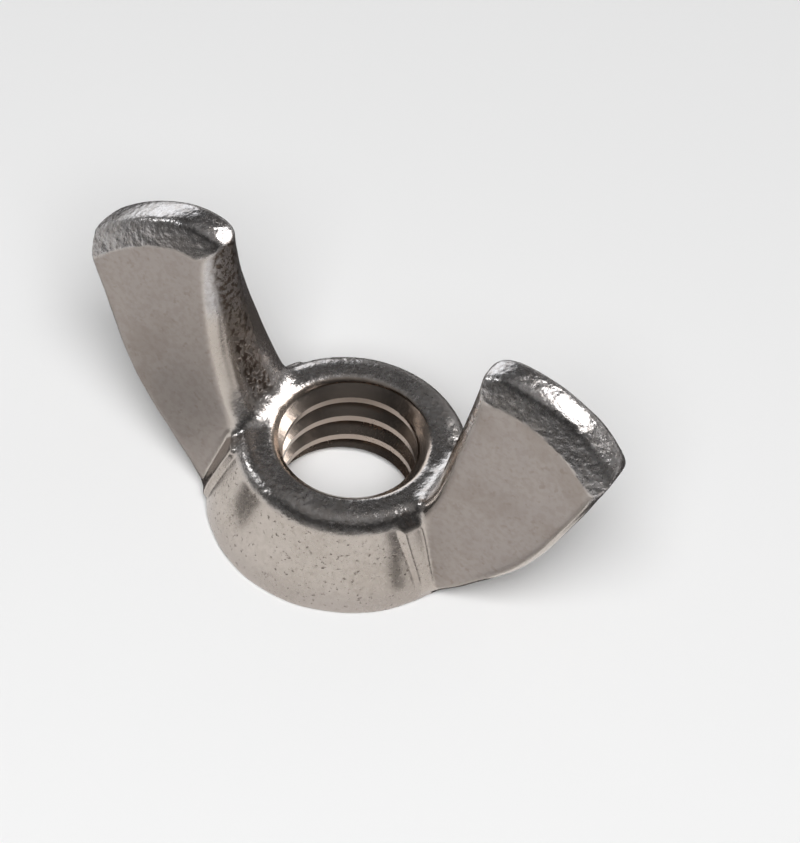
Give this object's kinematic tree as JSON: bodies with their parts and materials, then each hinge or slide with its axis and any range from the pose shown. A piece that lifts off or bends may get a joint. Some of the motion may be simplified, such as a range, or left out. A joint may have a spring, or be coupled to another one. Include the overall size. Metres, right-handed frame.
{
  "type": "wing nut",
  "caption": "Forged stainless wing nut: a conical hub with a flat top ring and a threaded through-hole, and splayed wings with crowned tips for turning by hand.",
  "frame": {"origin": "centre of the hub's flat bearing face, on the thread axis", "axes": "+Z along the thread axis, from the bearing face towards the wing tips; the wings spread along X and their faces look along Y"},
  "size_m": [0.0292, 0.014, 0.0159],
  "materials": {
    "forged_stainless": "tumbled forged stainless steel, satin to bright, with a fine hammered grain on the ring and tips"
  },
  "bodies": {
    "root": {"wing_nut": "forged_stainless"}
  },
  "joints": []
}
